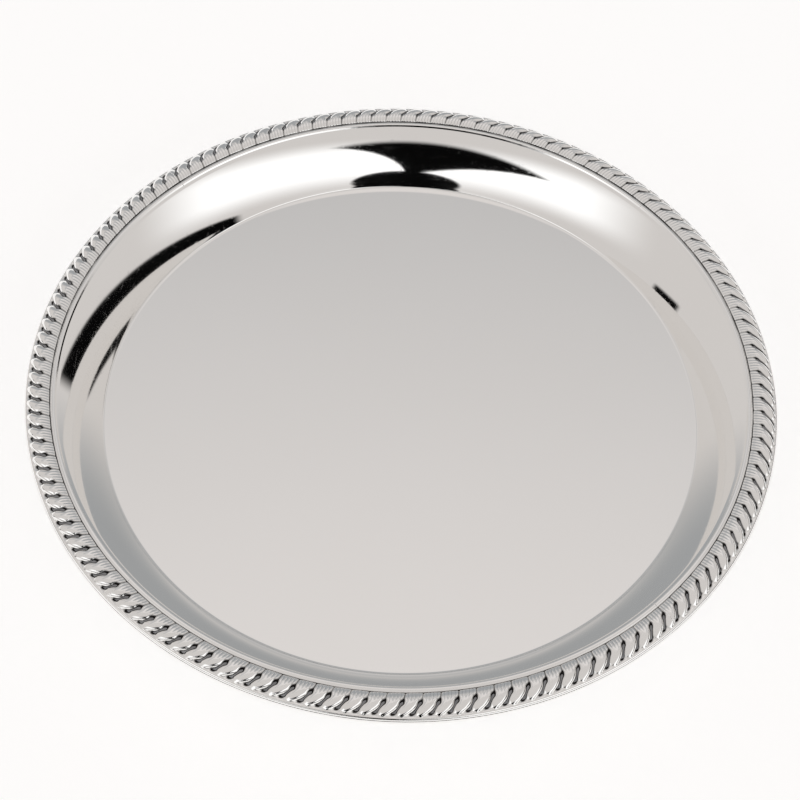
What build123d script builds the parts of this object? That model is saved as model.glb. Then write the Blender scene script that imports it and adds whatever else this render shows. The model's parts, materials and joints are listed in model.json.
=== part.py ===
"""A round silver-plated salver: a pressed tray with a wired edge and an applied gadroon border.

The tray stands on the flat underside of its well.  Z is up, the origin is the centre of that
underside, and every section below is drawn as (radius, height) and turned about Z.
Sizes are in millimetres and degrees.
"""
from build123d import *
from math import cos, radians, sin, tan
import os

# the pressed tray
SHEET = 1.0                # thickness of the sheet
WELL_R = 119.8             # edge of the flat well
WALL_TOP_R = 137.0         # top of the wall, at the inner edge of the border
WALL_TOP_Z = 22.1
WALL_SLOPE = 60.2          # slope of the wall at its foot
MIDDLE_SLOPE = 44.7        # slope where its lower curve meets its upper curve
TOP_SLOPE = 32.8           # slope at its top
WELL_BEND_R = 1.2          # bend from the well up into the wall, on the top face
FLANGE_SLOPE = 11.0        # fall of the flange under the border
FLANGE_BEND_R = 1.5        # bend from the wall down into the flange
RIM_R = 150.0              # outside of the wired edge
WIRE_R = 0.9               # radius of the wire inside the edge

# the border
SECTIONS = ["front", "right", "back", "left"]   # four lengths that meet end to end, from -Y
MOTIFS = 136               # gadroons all round
MOULDING_WIDTH = 2.2       # plain moulding along the inner edge
MOULDING_RISE = 0.8        # its height above the top of the wall
SEAT_DROP = 0.2            # how far its foot lies below the top of the wall
CREST_R = 143.0            # highest line of the gadroons
CREST_Z = 23.9
BAND_R = 148.7             # upper edge of the plain outer band
BAND_Z = 21.0
BAND_BULGE = (0.75, -0.6)  # from that edge to the point that the band curves through
LIP_R = 149.7              # outer edge of the border, on the wired edge
LIP_RISE = 0.76            # height of that edge above the wire's centre
SHELL = 0.5                # wall of the stamped strip under the grooves
CORE_DROP = 0.6            # how far the hollow starts below the top of the wall
GROOVE_DEPTH = 0.7         # depth of the groove between two gadroons
GROOVE_R = 1.4             # radius of the tool that forms the groove
GROOVE_LENGTH = 7.6
GROOVE_MID_R = 144.5       # middle of a groove
GROOVE_LEAN = 24.0         # angle of a groove from the radial direction, seen from above
GROOVE_FALL = 12.0         # fall of a groove towards the rim

CURL_R = WIRE_R + SHEET    # outer radius of the edge curled round the wire
CURL_CENTRE_R = RIM_R - CURL_R
UNDER_Z = -5.0             # below everything, for sections that are trimmed by the tray


def wall_radii():
    """Radii of the wall's lower and upper curves, which join the well to the border."""
    foot, middle, top = radians(WALL_SLOPE), radians(MIDDLE_SLOPE), radians(TOP_SLOPE)
    run = WALL_TOP_R - WELL_R - WELL_BEND_R * sin(foot)
    rise = WALL_TOP_Z - SHEET - WELL_BEND_R * (1 - cos(foot))
    lower_run, lower_rise = sin(foot) - sin(middle), cos(middle) - cos(foot)
    upper_run, upper_rise = sin(middle) - sin(top), cos(top) - cos(middle)
    share = lower_run * upper_rise - upper_run * lower_rise
    lower_r = (run * upper_rise - rise * upper_run) / share
    upper_r = (rise * lower_run - run * lower_rise) / share
    return lower_r, upper_r


def draw(start, steps):
    """A smooth line from start towards +X: each step is a length, or a bend (radius, angle)."""
    edges = []
    point = Vector(*start)
    heading = Vector(1, 0)
    for step in steps:
        if isinstance(step, tuple):
            edge = JernArc(point, heading, step[0], step[1])
        else:
            edge = Line(point, point + heading * step)
        edges.append(edge)
        point = edge @ 1
        heading = edge % 1
    return edges


def tray_top():
    """Top face of the sheet, from the centre out to the start of the curl."""
    lower_r, upper_r = wall_radii()
    inner = [WELL_R,
             (WELL_BEND_R, WALL_SLOPE),
             (lower_r, MIDDLE_SLOPE - WALL_SLOPE),
             (upper_r, TOP_SLOPE - MIDDLE_SLOPE),
             (FLANGE_BEND_R, -TOP_SLOPE - FLANGE_SLOPE)]
    bend_end = draw((0, SHEET), inner)[-1] @ 1
    curl_start = CURL_CENTRE_R + CURL_R * sin(radians(FLANGE_SLOPE))
    flange = (curl_start - bend_end.X) / cos(radians(FLANGE_SLOPE))
    return draw((0, SHEET), inner + [flange])


def wire_centre():
    """Centre of the wire, below the end of the flange."""
    end = tray_top()[-1] @ 1
    return CURL_CENTRE_R, end.Y - CURL_R * cos(radians(FLANGE_SLOPE))


def tray_section():
    """Section of the sheet, with its edge curled round the wire."""
    top = tray_top()
    curl = JernArc(top[-1] @ 1, top[-1] % 1, CURL_R, FLANGE_SLOPE - 270)
    sheet = offset(Curve(top + [curl]), amount=SHEET, side=Side.RIGHT, closed=True)
    return make_face(sheet.edges())


def below_tray_section():
    """Everything under the top face of the tray and the wired edge."""
    top = tray_top()
    end = top[-1] @ 1
    close = Polyline((0, SHEET), (0, UNDER_Z), (end.X, UNDER_Z), end)
    return make_face(top + [close]) + Pos(*wire_centre()) * Circle(CURL_R)


def border_outline():
    """Outline of the border over the crests of the gadroons, closed below the tray."""
    foot = (WALL_TOP_R, WALL_TOP_Z - SEAT_DROP)
    top = (WALL_TOP_R + MOULDING_WIDTH / 2, WALL_TOP_Z + MOULDING_RISE)
    valley = (WALL_TOP_R + MOULDING_WIDTH, WALL_TOP_Z + MOULDING_RISE / 2)
    moulding = ThreePointArc(foot, top, valley)
    crest = ThreePointArc(valley, (CREST_R, CREST_Z), (BAND_R, BAND_Z))
    _, wire_z = wire_centre()
    lip = (LIP_R, wire_z + LIP_RISE)
    bulge = (BAND_R + BAND_BULGE[0], BAND_Z + BAND_BULGE[1])
    band = ThreePointArc((BAND_R, BAND_Z), bulge, lip)
    close = Polyline(lip, (CURL_CENTRE_R, wire_z), (WALL_TOP_R, wire_z), foot)
    return make_face([moulding, crest, band, close])


def core_outline():
    """Outline of the hollow of the strip under the gadroons, closed below the tray."""
    wall = SHELL + GROOVE_DEPTH
    start = (WALL_TOP_R + MOULDING_WIDTH, WALL_TOP_Z - CORE_DROP)
    end = (BAND_R - wall / 2, BAND_Z - wall)
    crown = ThreePointArc(start, (CREST_R, CREST_Z - wall), end)
    _, wire_z = wire_centre()
    close = Polyline(end, (end[0], wire_z), (start[0], wire_z), start)
    return make_face([crown, close])


def groove():
    """Tool for one groove: a rod with round ends that leans and falls towards the rim."""
    rod = Cylinder(GROOVE_R, GROOVE_LENGTH, rotation=(0, 90, 0))
    run = GROOVE_MID_R - CREST_R
    deep = CREST_Z - run * tan(radians(GROOVE_FALL)) - GROOVE_DEPTH
    place = Pos(GROOVE_MID_R, 0, deep + GROOVE_R)
    return place * Rot(0, GROOVE_FALL, 0) * Rot(0, 0, -GROOVE_LEAN) * rod


def turned(section, angle=360.0):
    """A (radius, height) section turned about Z, over the azimuths from 0 to angle."""
    return revolve(Plane.XZ * section, axis=Axis.Z, revolution_arc=angle)


def border_pieces():
    """One length of the border, a struck strip and its solder fill, from azimuth 0."""
    angle = 360 / len(SECTIONS)
    pitch = 360 / MOTIFS
    outline = border_outline()
    tray = below_tray_section()
    core = core_outline() - tray
    strip = turned(outline - tray - core, angle)
    tool = groove()
    grooves = [Rot(0, 0, (i + 0.5) * pitch) * tool for i in range(MOTIFS // len(SECTIONS))]
    return strip - grooves, turned(core, angle)


def main():
    os.makedirs("parts", exist_ok=True)
    export_step(turned(tray_section()), "parts/tray_body.step")
    export_step(turned(Pos(*wire_centre()) * Circle(WIRE_R)), "parts/rim_wire.step")
    strip, fill = border_pieces()
    turn = 360 / len(SECTIONS)
    for i, name in enumerate(SECTIONS):
        place = Rot(0, 0, (i - 1.5) * turn)
        export_step(place * strip, f"parts/border_{name}.step")
        export_step(place * fill, f"parts/solder_fill_{name}.step")


main()
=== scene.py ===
import json
from math import cos, pi, radians, sin, tan

import bpy
import numpy as np
from mathutils import Matrix, Vector

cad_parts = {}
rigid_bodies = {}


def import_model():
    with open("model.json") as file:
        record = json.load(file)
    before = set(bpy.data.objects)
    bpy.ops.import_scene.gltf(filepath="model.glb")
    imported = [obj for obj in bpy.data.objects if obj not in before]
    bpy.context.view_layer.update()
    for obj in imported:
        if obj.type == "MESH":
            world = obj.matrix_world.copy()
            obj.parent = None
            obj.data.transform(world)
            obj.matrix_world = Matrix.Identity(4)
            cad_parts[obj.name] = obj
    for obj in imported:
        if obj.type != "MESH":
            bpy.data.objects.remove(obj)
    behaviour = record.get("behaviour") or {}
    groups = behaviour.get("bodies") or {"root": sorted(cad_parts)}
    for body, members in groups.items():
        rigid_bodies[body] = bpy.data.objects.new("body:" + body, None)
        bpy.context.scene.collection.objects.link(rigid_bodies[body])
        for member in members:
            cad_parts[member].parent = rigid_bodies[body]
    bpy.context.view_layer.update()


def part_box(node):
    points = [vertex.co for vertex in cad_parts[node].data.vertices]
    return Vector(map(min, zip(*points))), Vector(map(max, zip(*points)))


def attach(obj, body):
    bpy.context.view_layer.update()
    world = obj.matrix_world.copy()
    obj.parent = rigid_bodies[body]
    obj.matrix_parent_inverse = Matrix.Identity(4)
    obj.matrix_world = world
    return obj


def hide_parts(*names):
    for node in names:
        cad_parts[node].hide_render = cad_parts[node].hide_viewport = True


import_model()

MM = 0.001

# ---------------------------------------------------------------- sizes, in millimetres
RIM_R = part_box("tray_body")[1][0] / MM      # outside of the wired edge
SHEET = 1.0                # thickness of the pressed sheet
WELL_R = 119.8             # edge of the flat well
WALL_TOP_R = 137.0         # top of the wall, at the inner edge of the border
WALL_TOP_Z = 22.1
WALL_SLOPE = 60.2          # slope of the wall at its foot, in degrees
MIDDLE_SLOPE = 44.7        # slope where its lower curve meets its upper curve
TOP_SLOPE = 32.8           # slope at its top
WELL_BEND_R = 1.2          # bend from the well up into the wall
FLANGE_SLOPE = 11.0        # fall of the flange under the border, in degrees
FLANGE_BEND_R = 1.5        # bend from the wall down into the flange
WIRE_R = 0.9               # wire inside the rolled edge
CURL_R = WIRE_R + SHEET    # outside of the edge rolled round the wire
CURL_CENTRE_R = RIM_R - CURL_R

SECTIONS = ["front", "right", "back", "left"]
MOTIFS = 136               # gadroons all round the border
MOULDING_WIDTH = 2.2       # plain moulding along the inner edge
MOULDING_RISE = 0.8        # its height above the top of the wall
MOULDING_FOOT = (-0.14, -0.2)   # from the top of the wall to its foot, let into the sheet
MOULDING_BEVEL = (0.62, 0.70)   # and to the upper end of its flat inner face
CREST_R = 143.0            # highest line of the gadroons
CREST_Z = 23.85
BAND_R = 148.7             # upper edge of the plain outer band
BAND_Z = 21.0
BAND_BULGE = (0.75, -0.6)  # from that edge to the point that the band curves through
LIP_R = 149.65             # outer edge of the border, on the rolled edge
LIP_RISE = 0.76            # its height above the wire's centre
SEAT_DEPTH = 0.1           # how far the border's underside is let into the flange

SEGMENTS = 544             # steps round the tray
WELL_MARGIN = 4.0          # outer part of the well, which is divided more finely
WELL_LAST_STEP = 0.4       # its last step, which keeps the flat well flat up to the bend
MOTIF_STEPS = 36           # steps round one gadroon
ACROSS_STEPS = 46          # steps across the gadroons


# ---------------------------------------------------------------- the tray
def wall_radii():
    """Radii of the wall's lower and upper curves, which join the well to the border."""
    foot, middle, top = radians(WALL_SLOPE), radians(MIDDLE_SLOPE), radians(TOP_SLOPE)
    run = WALL_TOP_R - WELL_R - WELL_BEND_R * sin(foot)
    rise = WALL_TOP_Z - SHEET - WELL_BEND_R * (1 - cos(foot))
    bends = [[sin(foot) - sin(middle), sin(middle) - sin(top)],
             [cos(middle) - cos(foot), cos(top) - cos(middle)]]
    return np.linalg.solve(bends, [run, rise])


def draw(start, steps):
    """Points and left-hand normals along a line that starts towards +X.

    Each step is a straight (length, points) or a bend (radius, angle in degrees, points).
    """
    x, z = start
    heading = 0.0
    points = [(x, z)]
    normals = [(0.0, 1.0)]
    for step in steps:
        count = step[-1]
        if len(step) == 3:
            radius, angle = step[0], radians(step[1])
            side = 1 if angle > 0 else -1
            cx, cz = x - side * radius * sin(heading), z + side * radius * cos(heading)
            for k in range(1, count + 1):
                h = heading + angle * k / count
                points.append((cx + side * radius * sin(h), cz - side * radius * cos(h)))
                normals.append((-sin(h), cos(h)))
            heading += angle
        else:
            for k in range(1, count + 1):
                d = step[0] * k / count
                points.append((x + d * cos(heading), z + d * sin(heading)))
                normals.append((-sin(heading), cos(heading)))
        x, z = points[-1]
    return np.array(points), np.array(normals)


def tray_line():
    """Top face of the sheet from the centre to the end of the curl round the wire."""
    lower_r, upper_r = wall_radii()
    inner = [(WELL_R - WELL_MARGIN, 3),
             (WELL_MARGIN - WELL_LAST_STEP, 2),
             (WELL_LAST_STEP, 1),
             (WELL_BEND_R, WALL_SLOPE, 13),
             (lower_r, MIDDLE_SLOPE - WALL_SLOPE, 26),
             (upper_r, TOP_SLOPE - MIDDLE_SLOPE, 12),
             (FLANGE_BEND_R, -TOP_SLOPE - FLANGE_SLOPE, 6)]
    end = draw((0, SHEET), inner)[0][-1]
    curl_start = CURL_CENTRE_R + CURL_R * sin(radians(FLANGE_SLOPE))
    flange = (curl_start - end[0]) / cos(radians(FLANGE_SLOPE))
    return draw((0, SHEET), inner + [(flange, 3), (CURL_R, FLANGE_SLOPE - 270, 15)])


def wire_centre():
    """Centre of the wire inside the curl."""
    line = tray_line()[0]
    return CURL_CENTRE_R, line[-1][1]


def new_object(name, verts, faces, smooth=True):
    """An object in the scene with this mesh, whose sizes are in metres."""
    mesh = bpy.data.meshes.new(name)
    mesh.from_pydata([tuple(v) for v in verts], [], faces)
    mesh.validate()
    mesh.update()
    if smooth:
        mesh.polygons.foreach_set("use_smooth", [True] * len(mesh.polygons))
    obj = bpy.data.objects.new(name, mesh)
    bpy.context.scene.collection.objects.link(obj)
    return obj


def revolve(name, section, segments):
    """A closed solid from a closed section whose first and last points lie on the axis."""
    rings = len(section) - 2
    verts = [(0, 0, section[0][1] * MM)]
    angles = [2 * pi * k / segments for k in range(segments)]
    for r, z in section[1:-1]:
        for a in angles:
            verts.append((r * cos(a) * MM, r * sin(a) * MM, z * MM))
    verts.append((0, 0, section[-1][1] * MM))
    last = len(verts) - 1
    faces = []
    for k in range(segments):
        n = (k + 1) % segments
        faces.append((0, 1 + k, 1 + n))
        for i in range(rings - 1):
            a, b = 1 + i * segments, 1 + (i + 1) * segments
            faces.append((a + k, b + k, b + n, a + n))
        b = 1 + (rings - 1) * segments
        faces.append((last, b + n, b + k))
    return new_object(name, verts, faces)


def make_tray():
    """The sheet, closed, from the axis of the well to the end of its curl."""
    top, normals = tray_line()
    bottom = top - normals * SHEET
    section = [tuple(p) for p in top] + [tuple(p) for p in bottom[::-1]]
    return revolve("tray", section, SEGMENTS)


# ---------------------------------------------------------------- the gadroon border
def arc_through(a, b, c, count):
    """Evenly spaced points on the circular arc from a through b to c, turning clockwise."""
    ax, ay = a
    bx, by = b
    cx, cy = c
    d = 2 * (ax * (by - cy) + bx * (cy - ay) + cx * (ay - by))
    aa, bb, cc = ax**2 + ay**2, bx**2 + by**2, cx**2 + cy**2
    ux = (aa * (by - cy) + bb * (cy - ay) + cc * (ay - by)) / d
    uy = (aa * (cx - bx) + bb * (ax - cx) + cc * (bx - ax)) / d
    radius = np.hypot(ax - ux, ay - uy)
    start = np.arctan2(ay - uy, ax - ux)
    end = np.arctan2(cy - uy, cx - ux)
    if end > start:
        end -= 2 * pi
    angles = np.linspace(start, end, count)
    return np.c_[ux + radius * np.cos(angles), uy + radius * np.sin(angles)]


def flange_height(r):
    """Height of the flange's top face at radius r, past its bend."""
    turn, fall = radians(TOP_SLOPE), radians(FLANGE_SLOPE)
    start = WALL_TOP_R + FLANGE_BEND_R * (sin(turn) + sin(fall))
    top = WALL_TOP_Z + FLANGE_BEND_R * (cos(fall) - cos(turn))
    return top - (r - start) * tan(fall)


def border_section():
    """Section of the border over its crests, and the share t across the gadroons, or -1 off them."""
    _, wire_z = wire_centre()
    foot = (WALL_TOP_R + MOULDING_FOOT[0], WALL_TOP_Z + MOULDING_FOOT[1])
    bevel = (WALL_TOP_R + MOULDING_BEVEL[0], WALL_TOP_Z + MOULDING_BEVEL[1])
    top = (WALL_TOP_R + MOULDING_WIDTH / 2, WALL_TOP_Z + MOULDING_RISE)
    valley = (WALL_TOP_R + MOULDING_WIDTH, WALL_TOP_Z + MOULDING_RISE / 2)
    crown = arc_through(bevel, top, valley, 9)
    moulding = np.vstack([np.linspace(foot, bevel, 7)[:-1], crown])
    crest = arc_through(valley, (CREST_R, CREST_Z), (BAND_R, BAND_Z), ACROSS_STEPS + 1)
    bulge = (BAND_R + BAND_BULGE[0], BAND_Z + BAND_BULGE[1])
    band = arc_through((BAND_R, BAND_Z), bulge, (LIP_R, wire_z + LIP_RISE), 10)
    points = np.vstack([moulding[:-1], crest, band[1:]])
    share = np.full(len(points), -1.0)
    start = len(moulding) - 1
    share[start:start + len(crest)] = np.linspace(0, 1, len(crest))
    return points, share


def smooth(low, high, x):
    """Zero up to low, one from high on, and a smooth step between."""
    s = np.clip((x - low) / (high - low), 0, 1)
    return s * s * (3 - 2 * s)


# the relief's places across the border are shares, 0 at the moulding and 1 at the plain band,
# and its places along the border are shares of half a gadroon, 0 in a groove and 1 on a crest
LEAN = 0.75                # gadroons that a groove drifts by, from its inner to its outer end
LEAN_CURVE = 1.6           # power by which it leans more towards its outer end
STEM_DEPTH = 0.42          # depth of the groove between two stems, along the inner half
LOBES = (0.34, 0.52)       # where the stems swell into lobes
LOBE_DEPTH = 1.50          # depth of the groove between two lobes
LOBE_POWER = 2.3           # roundness of a lobe
NOSE = (0.80, 1.0)         # where a lobe rounds off into its nose
NOSE_POWER = 0.4           # how much rounder it is there
NOSE_DROP = 0.22           # how much deeper the groove is there
REEDS = 5                  # fine reeds on each stem
REED_DEPTH = 0.20
REED_LEAN = 0.3            # gadroons that they drift by
REEDS_START = (0.02, 0.10)  # where they fade in
PIT = (0.45, 0.26, 0.095)  # pit where a groove starts: its place across, and half sizes along and across
PIT_DEPTH = 0.55
OUTER_PIT = (0.90, 0.30, 0.08)   # and a pit where it ends
OUTER_PIT_DEPTH = 0.35
DARK_LINE = (0.03, 0.022)  # line between the moulding and the stems: its place and half width
DARK_LINE_DEPTH = 0.30
FADE_IN = (0, 0.05)        # where the relief starts and ends
FADE_OUT = (0.96, 1.0)
SKIN = 0.12                # least height left above the flange

# how much each hollow is darkened: partly tarnish, partly painted shade
CREASE_WIDTH = 0.17        # half width of the tarnish along a groove
CREASE_SHADE_TARNISH = 1.05
STEM_CREASE = 0.25         # share of it that is left between two stems
PIT_SHADE_TARNISH = 1.3
OUTER_PIT_SHADE_TARNISH = 1.0
REED_SHADE_TARNISH = 0.34
LINE_SHADE_TARNISH = 0.9
JOINT_SHADE_TARNISH = 0.8        # where the plain band meets the rolled edge: painted shade along the contact, with some tarnish


def pit(away, t, place, along, across):
    """One in the middle of a pit in a groove, fading to zero round it."""
    return np.exp(-(away / along) ** 2 - ((t - place) / across) ** 2)


def relief(u, t):
    """Depth below the crests, and how much tarnish and painted shade darken the place, at u gadroons
    along and share t across.
    """
    x = 2 * ((u + LEAN * t**LEAN_CURVE) % 1.0) - 1
    away = 1 - np.abs(x)                                 # zero in a groove, one on a crest
    outer = smooth(*LOBES, t)
    nose = smooth(*NOSE, t)
    lobe = np.abs(x) ** (LOBE_POWER - NOSE_POWER * nose)
    stem = 1 - np.sqrt(np.clip(1 - np.abs(x) ** 4, 0, 1))
    depth = STEM_DEPTH * stem * (1 - outer) + LOBE_DEPTH * lobe * outer
    reed = np.abs(2 * ((REEDS * (u + REED_LEAN * t)) % 1.0) - 1) ** 2
    reeded = (1 - outer) * smooth(*REEDS_START, t)
    depth = depth + REED_DEPTH * reed * reeded
    inner_pit = pit(away, t, *PIT)
    outer_pit = pit(away, t, *OUTER_PIT)
    depth = depth + PIT_DEPTH * inner_pit + OUTER_PIT_DEPTH * outer_pit + NOSE_DROP * nose * (1 - away)
    fade = smooth(*FADE_IN, t) * (1 - smooth(*FADE_OUT, t))
    line = np.exp(-((t - DARK_LINE[0]) / DARK_LINE[1]) ** 2)
    crease = np.exp(-(away / CREASE_WIDTH) ** 2) * (STEM_CREASE + (1 - STEM_CREASE) * outer)
    # the mask paints shade as well as tarnish into the pits, grooves, reeds and the inner line
    shade_tarnish_mask = PIT_SHADE_TARNISH * inner_pit + OUTER_PIT_SHADE_TARNISH * outer_pit
    shade_tarnish_mask = shade_tarnish_mask + CREASE_SHADE_TARNISH * crease + REED_SHADE_TARNISH * reed * reeded
    shade_tarnish_mask = np.clip(shade_tarnish_mask, 0, 1) * fade
    return depth * fade + DARK_LINE_DEPTH * line, np.maximum(shade_tarnish_mask, LINE_SHADE_TARNISH * line)


def make_border(name, index):
    """One of the four lengths of the border, a closed strip that lies on the flange."""
    section, share = border_section()
    tangent = np.gradient(section, axis=0)
    normal = np.c_[-tangent[:, 1], tangent[:, 0]]
    normal /= np.linalg.norm(normal, axis=1)[:, None]
    count = MOTIFS // len(SECTIONS)
    steps = count * MOTIF_STEPS
    first = -pi / 2 + (index - 0.5) * pi / 2
    angles = first + np.linspace(0, pi / 2, steps + 1)
    seat = np.array([(r, flange_height(r) - SEAT_DEPTH)
                     for r in (CURL_CENTRE_R, CREST_R, WALL_TOP_R + MOULDING_WIDTH / 2)])
    across = len(section) + len(seat)
    gadrooned = share >= 0
    room = section[:, 1] - [flange_height(r) + SKIN for r in section[:, 0]]
    # the silver is also darkened where the plain band meets the rolled edge: some tarnish, and painted
    # shade along the contact
    joint = np.zeros(across)
    joint[len(section) - 3:len(section) + 1] = JOINT_SHADE_TARNISH
    verts, shade_tarnish_masks = [], []
    for k, angle in enumerate(angles):
        depth, shade_tarnish_mask = np.zeros(len(section)), joint.copy()
        depth[gadrooned], shade_tarnish_mask[:len(section)][gadrooned] = relief(k / MOTIF_STEPS, share[gadrooned])
        depth = np.minimum(depth, np.maximum(room, 0))
        ring = np.vstack([section - normal * depth[:, None], seat]) * MM
        verts.append(np.c_[ring[:, 0] * cos(angle), ring[:, 0] * sin(angle), ring[:, 1]])
        shade_tarnish_masks.append(shade_tarnish_mask)
    faces = []
    for k in range(steps):
        a, b = k * across, (k + 1) * across
        for i in range(across):
            j = (i + 1) % across
            faces.append((a + i, a + j, b + j, b + i))
    faces.append(tuple(range(across))[::-1])
    faces.append(tuple(steps * across + i for i in range(across)))
    obj = new_object(name, np.vstack(verts), faces)
    for end in (-1, -2):
        obj.data.polygons[end].use_smooth = False
    layer = obj.data.attributes.new("shade_tarnish_mask", "FLOAT", "POINT")
    layer.data.foreach_set("value", np.concatenate(shade_tarnish_masks))
    return obj


# ---------------------------------------------------------------- materials
class Shades:
    """Builds chains of shader nodes; every value is a socket or a plain setting."""

    def __init__(self, tree):
        self.tree = tree

    def add(self, kind, **inputs):
        """A new node with the named inputs linked or set; spaces in their names are underscores."""
        node = self.tree.nodes.new(kind)
        for name, value in inputs.items():
            self.put(node.inputs[name.replace("_", " ")], value)
        return node

    def put(self, socket, value):
        """Link value to the socket, or set it if value is plain."""
        if isinstance(value, bpy.types.NodeSocket):
            self.tree.links.new(value, socket)
        else:
            socket.default_value = value

    def math(self, operation, *values):
        """The result of one arithmetic operation."""
        node = self.tree.nodes.new("ShaderNodeMath")
        node.operation = operation
        for socket, value in zip(node.inputs, values):
            self.put(socket, value)
        return node.outputs[0]

    def ramp(self, value, start, end, low=0.0, high=1.0):
        """A smooth step from low to high while value goes from start to end."""
        node = self.add("ShaderNodeMapRange")
        node.interpolation_type = "SMOOTHSTEP"
        for name, setting in (("Value", value), ("From Min", start), ("From Max", end),
                              ("To Min", low), ("To Max", high)):
            self.put(node.inputs[name], setting)
        return node.outputs["Result"]

    def band(self, value, middle, half, soft):
        """One within half of middle, falling to zero over soft."""
        away = self.math("ABSOLUTE", self.math("SUBTRACT", value, middle))
        return self.ramp(away, half, half + soft, 1.0, 0.0)

    def squared(self, value, middle, half):
        """Square of the distance of value from middle, in units of half."""
        away = self.math("ABSOLUTE", self.math("SUBTRACT", value, middle))
        return self.math("POWER", self.math("DIVIDE", away, half), 2)

    def all(self, *masks):
        """The product of the masks, one where each of them is one."""
        product = masks[0]
        for mask in masks[1:]:
            product = self.math("MULTIPLY", product, mask)
        return product

    def blend(self, share, first, second):
        """A colour that goes from first to second as share goes from zero to one."""
        node = self.add("ShaderNodeMix", Factor=share)
        node.data_type = "RGBA"
        node.clamp_factor = True
        colours_in = [socket for socket in node.inputs if socket.type == "RGBA"]
        self.put(colours_in[0], first)
        self.put(colours_in[1], second)
        return next(socket for socket in node.outputs if socket.type == "RGBA")

    def place(self, *scale):
        """Object coordinates in metres, times scale along each axis."""
        where = self.add("ShaderNodeTexCoord").outputs["Object"]
        node = self.add("ShaderNodeVectorMath")
        node.operation = "MULTIPLY"
        self.put(node.inputs[0], where)
        self.put(node.inputs[1], scale)
        return node.outputs[0]

    def noise(self, scale, detail, stretch=(1, 1, 1)):
        """Smooth noise from zero to one, with about scale waves to the metre."""
        node = self.add("ShaderNodeTexNoise", Vector=self.place(*stretch), Scale=scale, Detail=detail)
        return node.outputs["Fac"]

    def bump(self, height, strength, distance, under=None):
        """A normal bumped by height, on top of the normal under."""
        node = self.add("ShaderNodeBump", Height=height, Strength=strength, Distance=distance)
        if under is not None:
            self.put(node.inputs["Normal"], under)
        return node.outputs["Normal"]


# two colours in one line are mixed by faint clouds
TRAY_SILVER = (0.955, 0.945, 0.930, 1), (0.975, 0.968, 0.958, 1)
BORDER_SILVER = (0.93, 0.92, 0.905, 1), (0.985, 0.98, 0.97, 1)
# near black put into the border's hollows: partly tarnish, partly painted shade
TARNISH_AND_SHADE = (0.018, 0.017, 0.016, 1)
WIRE_STEEL = (0.50, 0.49, 0.47, 1)
WIRE_RUST = (0.36, 0.30, 0.26, 1)
SOLDER_COLOURS = (0.40, 0.40, 0.41, 1), (0.27, 0.27, 0.28, 1)


def metal(name):
    """A new material with a metallic shader, and the builder of its nodes."""
    material = bpy.data.materials.new(name)
    material.use_nodes = True
    shader = material.node_tree.nodes["Principled BSDF"]
    shader.inputs["Metallic"].default_value = 1.0
    return material, shader, Shades(material.node_tree)


def scratches(shades, stretch):
    """Faint hairlines along one axis, one where they lie."""
    return shades.ramp(shades.noise(900.0, 1.0, stretch), 0.66, 0.74)


def plate_silver():
    """Mirror plate of the tray: hairline wiping marks, faint clouds, a gently uneven surface."""
    material, shader, shades = metal("mirror_silver")
    clouds = shades.noise(14.0, 3.0)
    marks = shades.math("MAXIMUM", scratches(shades, (1, 0.03, 1)), scratches(shades, (0.04, 1, 1)))
    shades.put(shader.inputs["Base Color"], shades.blend(clouds, *TRAY_SILVER))
    rough = shades.math("ADD", shades.ramp(clouds, 0.35, 0.65, 0.030, 0.055),
                        shades.math("MULTIPLY", marks, 0.05))
    shades.put(shader.inputs["Roughness"], rough)
    wavy = shades.bump(shades.noise(9.0, 0.0), 0.10, 0.0006)
    shades.put(shader.inputs["Normal"], shades.bump(marks, 0.05, 0.00001, wavy))
    return material


def border_silver():
    """Struck silver of the border: bright crests, and hollows darkened partly by tarnish and partly by
    painted shade.
    """
    material, shader, shades = metal("gadroon_silver")
    shade_tarnish_mask = shades.add("ShaderNodeAttribute")
    shade_tarnish_mask.attribute_name = "shade_tarnish_mask"
    grain = shades.noise(1600.0, 3.0)
    mottle = shades.noise(160.0, 3.0)
    # painted shade and tarnish: the mask darkens the hollows towards near black
    uneven = shades.math("MULTIPLY", shade_tarnish_mask.outputs["Fac"], shades.ramp(mottle, 0.2, 0.7, 0.75, 1.2))
    shade_tarnish_amount = shades.ramp(uneven, 0.12, 0.80)
    bright = shades.blend(mottle, *BORDER_SILVER)
    shades.put(shader.inputs["Base Color"], shades.blend(shade_tarnish_amount, bright, TARNISH_AND_SHADE))
    rough = shades.math("ADD", shades.ramp(mottle, 0.3, 0.7, 0.05, 0.12),
                        shades.math("MULTIPLY", shade_tarnish_amount, 0.35))
    shades.put(shader.inputs["Roughness"], rough)
    shades.put(shader.inputs["Normal"], shades.bump(grain, 0.12, 0.00003))
    return material


def drawn_wire():
    """Steel wire with fine lines and a few rust clouds."""
    material, shader, shades = metal("drawn_wire")
    clouds = shades.noise(120.0, 4.0)
    lines = shades.noise(700.0, 2.0, (1, 1, 6))
    shades.put(shader.inputs["Base Color"], shades.blend(clouds, WIRE_STEEL, WIRE_RUST))
    shades.put(shader.inputs["Roughness"], shades.ramp(lines, 0.3, 0.7, 0.28, 0.50))
    shades.put(shader.inputs["Normal"], shades.bump(lines, 0.3, 0.00005))
    return material


def soft_solder():
    """Dull solder with a frosty, slightly pitted skin."""
    material, shader, shades = metal("soft_solder")
    clouds = shades.noise(200.0, 4.0)
    pits = shades.noise(900.0, 2.0)
    shades.put(shader.inputs["Base Color"], shades.blend(clouds, *SOLDER_COLOURS))
    shades.put(shader.inputs["Roughness"], shades.ramp(clouds, 0.3, 0.7, 0.45, 0.65))
    shades.put(shader.inputs["Normal"], shades.bump(pits, 0.4, 0.0001))
    return material


def dress(obj, material):
    """Give the object this material and no other."""
    obj.data.materials.clear()
    obj.data.materials.append(material)


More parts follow.
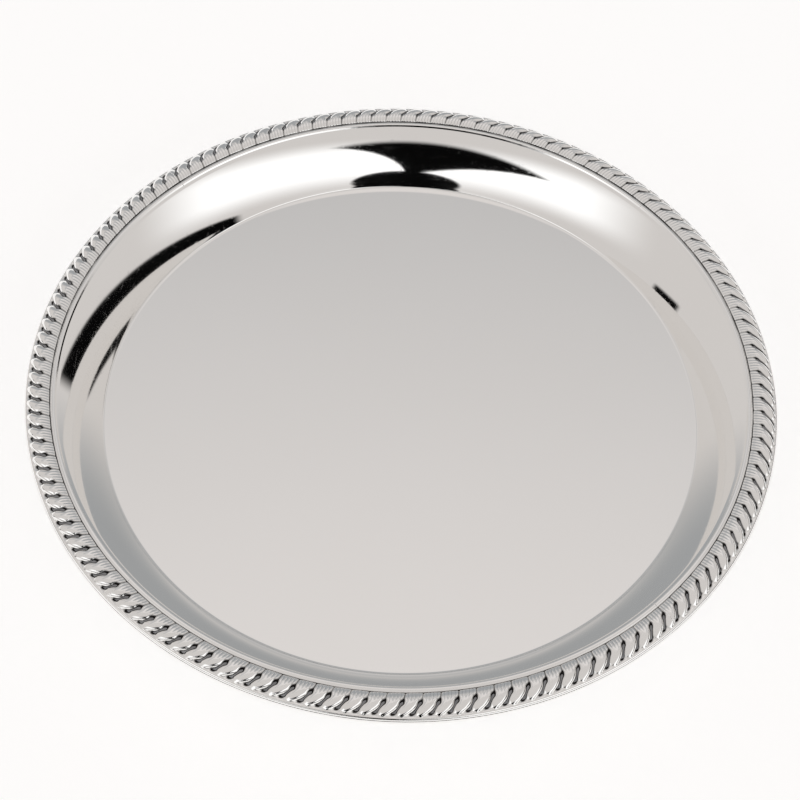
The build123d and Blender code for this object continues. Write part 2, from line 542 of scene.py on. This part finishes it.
# ---------------------------------------------------------------- studio
TENT = (0.630, 0.605, 0.588, 1)         # warm grey cloth all round and overhead
BACK_LOW = (0.352, 0.362, 0.372, 1)     # the cloth behind the object, low down
BACK_HIGH = (0.735, 0.705, 0.690, 1)    # and higher up
SOFTBOX = (1.15, 1.15, 1.15, 1)
GAP = (0.002, 0.002, 0.002, 1)          # unlit room seen between the lights
BACKDROP = (0.95, 0.95, 0.95, 1)        # what the camera sees past the floor

# where things lie in the directions round the object: elevations and bearings are in degrees, with
# bearing 0 at the camera and positive to the right; two numbers are the start and the end of a soft
# edge, and three are a middle, a half width and a soft edge
BACK_SHADE = (34, 64)                   # elevations over which the cloth behind gets lighter
BEHIND = (0.62, 0.88)                   # y of a unit direction where that cloth begins
OVERHEAD = (38, 46)                     # elevations from which it reaches further forward
OVERHEAD_BEHIND = (0.1, 0.3)            # and the y where it begins up there
SOFTBOX_FOOT = (9, 21)
SOFTBOX_TOP = (39, 30)
SOFTBOX_BEARING = (5, 55, 32)
GAP_MIDDLE = 0.04                       # the gap is laid out on a wall one unit in front of the object
GAP_LEFT_SLOPE = -0.45                  # its upper part's lower edge rises straight to the left
GAP_RIGHT_CURVE = 0.67                  # and as a square root to the right
GAP_FOOT = (0.30, 0.325)                # height of that edge in the middle
GAP_TOP = (0.79, 0.71)
OVAL_MIDDLE = 0.255                     # height of the oval below, which overlaps the upper part
OVAL_HALF_WIDTH = 0.31
OVAL_HALF_HEIGHT = 0.105
OVAL_EDGE = (1.15, 0.90)                # in squares of its half sizes
FLAG_SLOPE = (0.09, 0.09, 0.03)         # flag low on the right: height over distance to the right
FLAG_BEARING = (93, 34, 4)
SMALL_FLAG_ELEVATION = (3, 3, 2)        # and a small one on the left
SMALL_FLAG_BEARING = (-90, 4, 2)
ROOM_TOP = (8, 5)                       # unlit room under the softbox
ROOM_BEARING = (0, 48, 10)
LEAST = 0.01                            # keeps the divisions below from dividing by zero


def make_world():
    """A cloth tent with a wide softbox in front, which a dark gap at the camera divides."""
    world = bpy.data.worlds.new("studio")
    bpy.context.scene.world = world
    world.use_nodes = True
    tree = world.node_tree
    tree.nodes.clear()
    shades = Shades(tree)
    direction = tree.nodes.new("ShaderNodeTexCoord").outputs["Generated"]
    split = tree.nodes.new("ShaderNodeSeparateXYZ")
    tree.links.new(direction, split.inputs[0])
    x, y, z = split.outputs
    front = shades.math("MULTIPLY", y, -1)
    elevation = shades.math("DEGREES", shades.math("ARCSINE", z))
    bearing = shades.math("DEGREES", shades.math("ARCTAN2", x, front))
    # the cloth, darker low down behind the object
    back = shades.blend(shades.ramp(elevation, *BACK_SHADE), BACK_LOW, BACK_HIGH)
    high = shades.all(shades.ramp(elevation, *OVERHEAD), shades.ramp(y, *OVERHEAD_BEHIND))
    behind = shades.math("MAXIMUM", shades.ramp(y, *BEHIND), high)
    colour = shades.blend(behind, TENT, back)
    # the softbox, brightest at mid height
    lit = shades.all(shades.ramp(elevation, *SOFTBOX_FOOT), shades.ramp(elevation, *SOFTBOX_TOP),
                     shades.band(bearing, *SOFTBOX_BEARING))
    colour = shades.blend(lit, colour, SOFTBOX)
    # the gap: an upper part with a slanting lower edge, and an oval below
    before = shades.math("MAXIMUM", front, LEAST)
    across = shades.math("SUBTRACT", shades.math("DIVIDE", x, before), GAP_MIDDLE)
    height = shades.math("DIVIDE", z, before)
    straight = shades.math("MULTIPLY", across, GAP_LEFT_SLOPE)
    root = shades.math("SQRT", shades.math("MAXIMUM", across, 0))
    curved = shades.math("MULTIPLY", root, GAP_RIGHT_CURVE)
    edge = shades.math("SUBTRACT", height, shades.math("MAXIMUM", straight, curved))
    upper = shades.all(shades.ramp(edge, *GAP_FOOT), shades.ramp(height, *GAP_TOP))
    wide = shades.squared(across, 0, OVAL_HALF_WIDTH)
    tall = shades.squared(height, OVAL_MIDDLE, OVAL_HALF_HEIGHT)
    lower = shades.ramp(shades.math("ADD", wide, tall), *OVAL_EDGE)
    colour = shades.blend(shades.math("MAXIMUM", upper, lower), colour, GAP)
    # the flags
    beside = shades.math("DIVIDE", z, shades.math("MAXIMUM", x, LEAST))
    flag = shades.all(shades.band(beside, *FLAG_SLOPE), shades.band(bearing, *FLAG_BEARING))
    colour = shades.blend(flag, colour, GAP)
    small = shades.all(shades.band(elevation, *SMALL_FLAG_ELEVATION),
                       shades.band(bearing, *SMALL_FLAG_BEARING))
    colour = shades.blend(small, colour, GAP)
    # the unlit room under the softbox
    room = shades.all(shades.ramp(elevation, *ROOM_TOP), shades.band(bearing, *ROOM_BEARING))
    colour = shades.blend(room, colour, GAP)
    # the camera itself looks past the object at a plain pale backdrop
    seen = tree.nodes.new("ShaderNodeLightPath").outputs["Is Camera Ray"]
    colour = shades.blend(seen, colour, BACKDROP)
    background = tree.nodes.new("ShaderNodeBackground")
    tree.links.new(colour, background.inputs["Color"])
    output = tree.nodes.new("ShaderNodeOutputWorld")
    tree.links.new(background.outputs[0], output.inputs["Surface"])


FLOOR_HALF = 3.0                        # half its side, in metres
FLOOR_COLOUR = (0.85, 0.85, 0.85, 1)
FLOOR_GLOW = 0.45                       # lifts the paper to nearly white


def make_floor():
    """A plain sheet of pale paper that the tray stands on."""
    h = FLOOR_HALF
    floor = new_object("floor", [(-h, -h, 0), (h, -h, 0), (h, h, 0), (-h, h, 0)], [(0, 1, 2, 3)],
                       smooth=False)
    material = bpy.data.materials.new("floor_paper")
    material.use_nodes = True
    shader = material.node_tree.nodes["Principled BSDF"]
    shader.inputs["Base Color"].default_value = FLOOR_COLOUR
    shader.inputs["Emission Color"].default_value = (1, 1, 1, 1)
    shader.inputs["Emission Strength"].default_value = FLOOR_GLOW
    dress(floor, material)


# ---------------------------------------------------------------- camera
CAMERA_ELEVATION = 53.878                 # in degrees
CAMERA_DISTANCE = 0.850                   # in metres
CAMERA_LENS = 95.87                       # in millimetres, on the sensor below
CAMERA_SENSOR = 36.0
CAMERA_ROLL = 2.76                        # in degrees
CAMERA_AIM = (-0.0007, 0.0, 0.0210)       # point by the tray's axis that its place is measured from
AIM_DROP = 0.0071                         # how far below that point the view's centre passes


def make_camera():
    """A camera in front of the tray, which looks down at it and is rolled a little."""
    e = radians(CAMERA_ELEVATION)
    back = Vector((0, -cos(e), sin(e)))
    up = Vector((0, sin(e), cos(e)))
    data = bpy.data.cameras.new("camera")
    data.lens = CAMERA_LENS
    data.sensor_width = CAMERA_SENSOR
    camera = bpy.data.objects.new("camera", data)
    bpy.context.scene.collection.objects.link(camera)
    target = Vector(CAMERA_AIM)
    place = target + back * CAMERA_DISTANCE
    look = (target - up * AIM_DROP - place).normalized()
    roll = Matrix.Rotation(radians(CAMERA_ROLL), 3, "Z")
    turn = look.to_track_quat("-Z", "Y").to_matrix() @ roll
    camera.matrix_world = Matrix.Translation(place) @ turn.to_4x4()
    bpy.context.scene.camera = camera


# ---------------------------------------------------------------- assembly
def main():
    """The object's pieces on the frame, then the studio."""
    bpy.context.scene.view_settings.view_transform = "Standard"
    tray = make_tray()
    dress(tray, plate_silver())
    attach(tray, "root")
    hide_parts("tray_body")
    relief_silver = border_silver()
    solder = soft_solder()
    for i, name in enumerate(SECTIONS):
        strip = make_border(f"gadroons_{name}", i)
        dress(strip, relief_silver)
        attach(strip, "root")
        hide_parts(f"border_{name}")
        dress(bpy.data.objects[f"solder_fill_{name}"], solder)
    dress(bpy.data.objects["rim_wire"], drawn_wire())
    make_world()
    make_floor()
    make_camera()


main()
